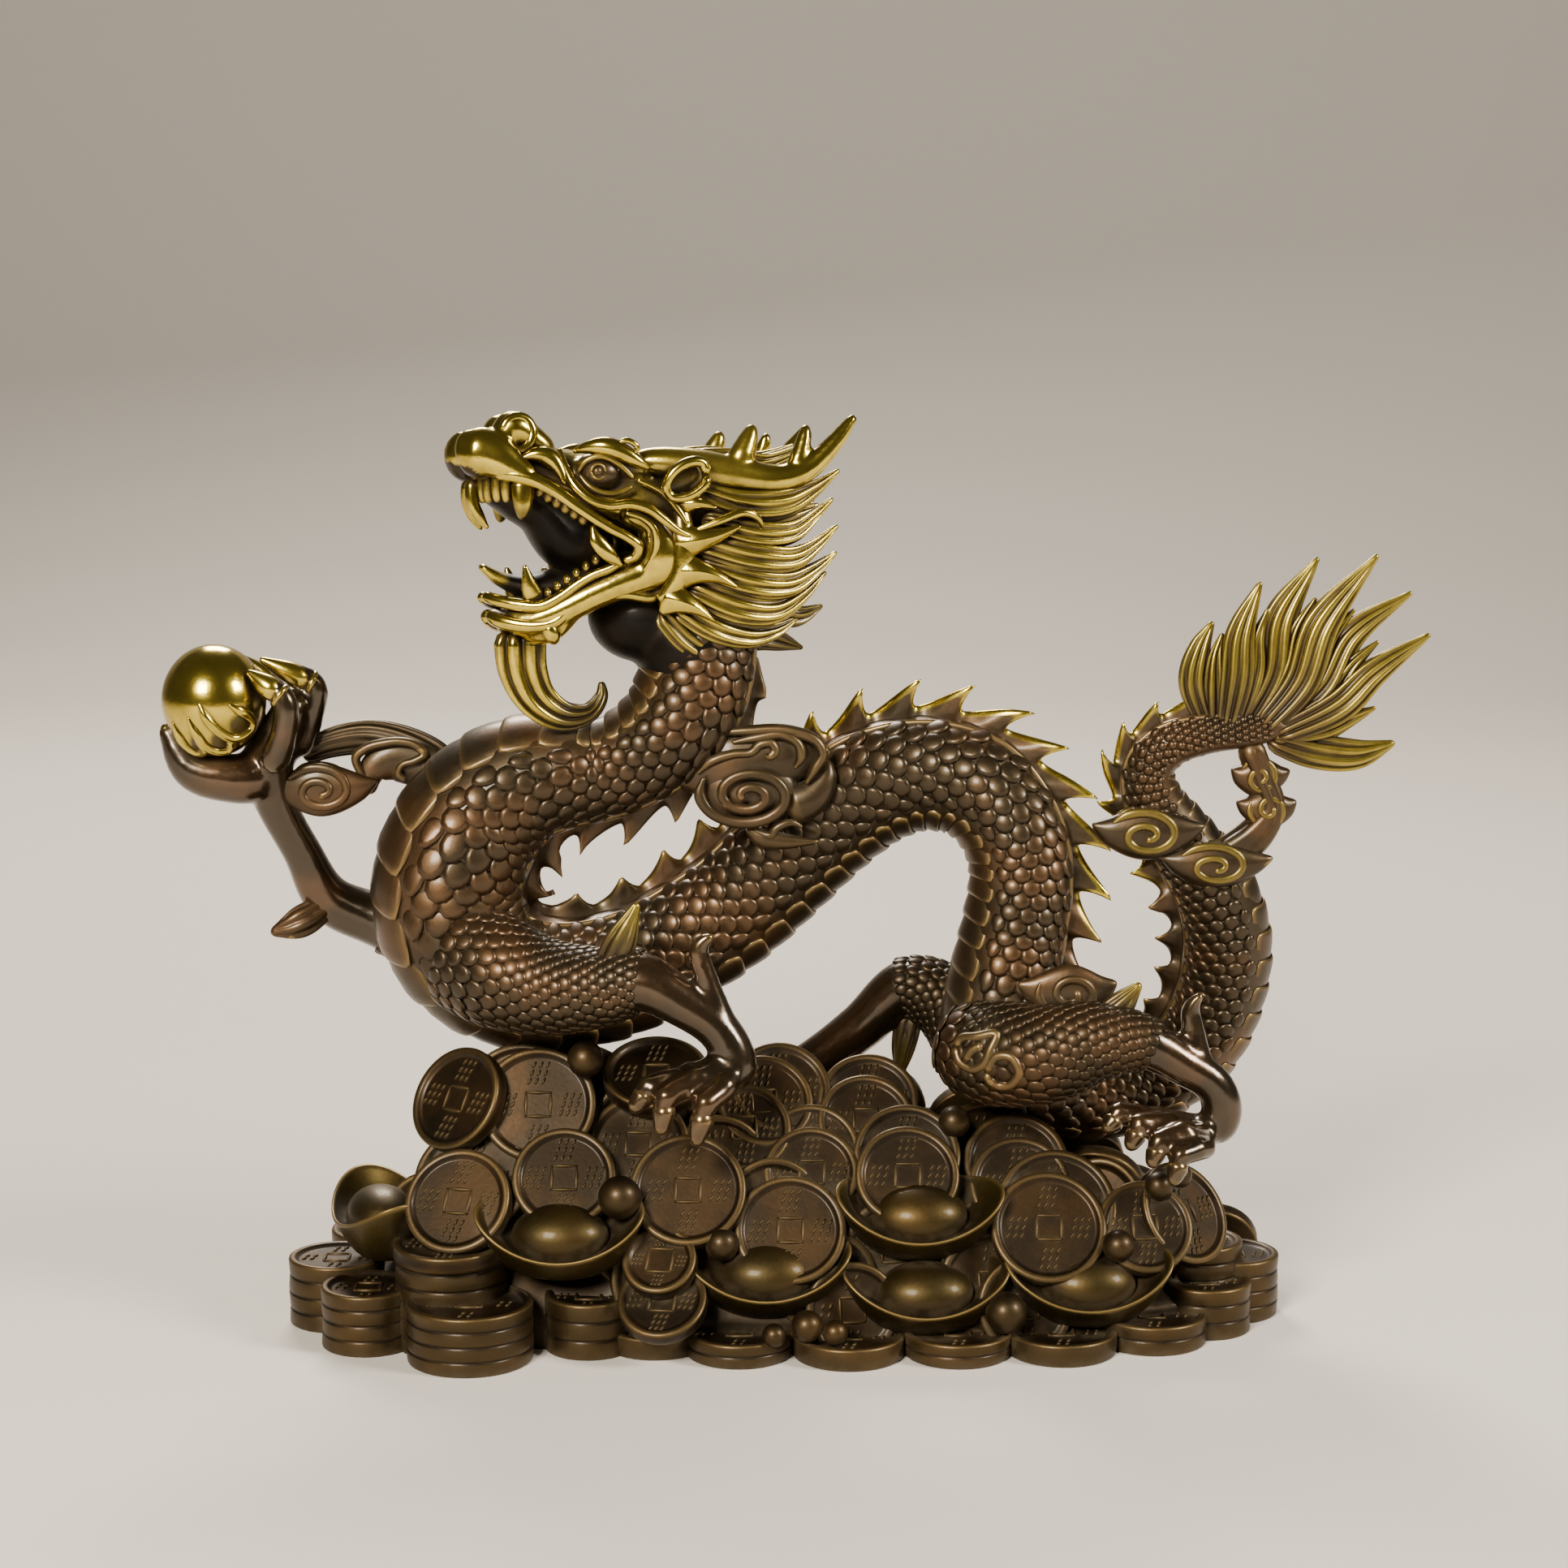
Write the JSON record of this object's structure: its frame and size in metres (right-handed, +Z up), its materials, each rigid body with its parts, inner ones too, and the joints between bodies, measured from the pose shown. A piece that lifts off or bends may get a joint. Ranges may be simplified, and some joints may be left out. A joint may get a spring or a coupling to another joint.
{
  "type": "dragon figure",
  "caption": "Cast brass dragon holding a pearl, standing on a heap of coins and ingots; a table or shelf ornament.",
  "frame": {"origin": "middle of the figure's length and depth, on the surface that the coin heap stands on", "axes": "+X from the head towards the tail flame, +Y away from the side that is seen, +Z up"},
  "size_m": [0.2602, 0.0874, 0.1894],
  "materials": {
    "patinated_brass": "satin brown patina, burnished to bright gold on the head, mane, horns, pearl, fin edges and tail flame",
    "dusty_patinated_brass": "satin brown patina with an olive bloom in the hollows and rubbed bright rims"
  },
  "bodies": {
    "root": {"dragon": "patinated_brass", "coin_heap": "dusty_patinated_brass"}
  },
  "joints": []
}
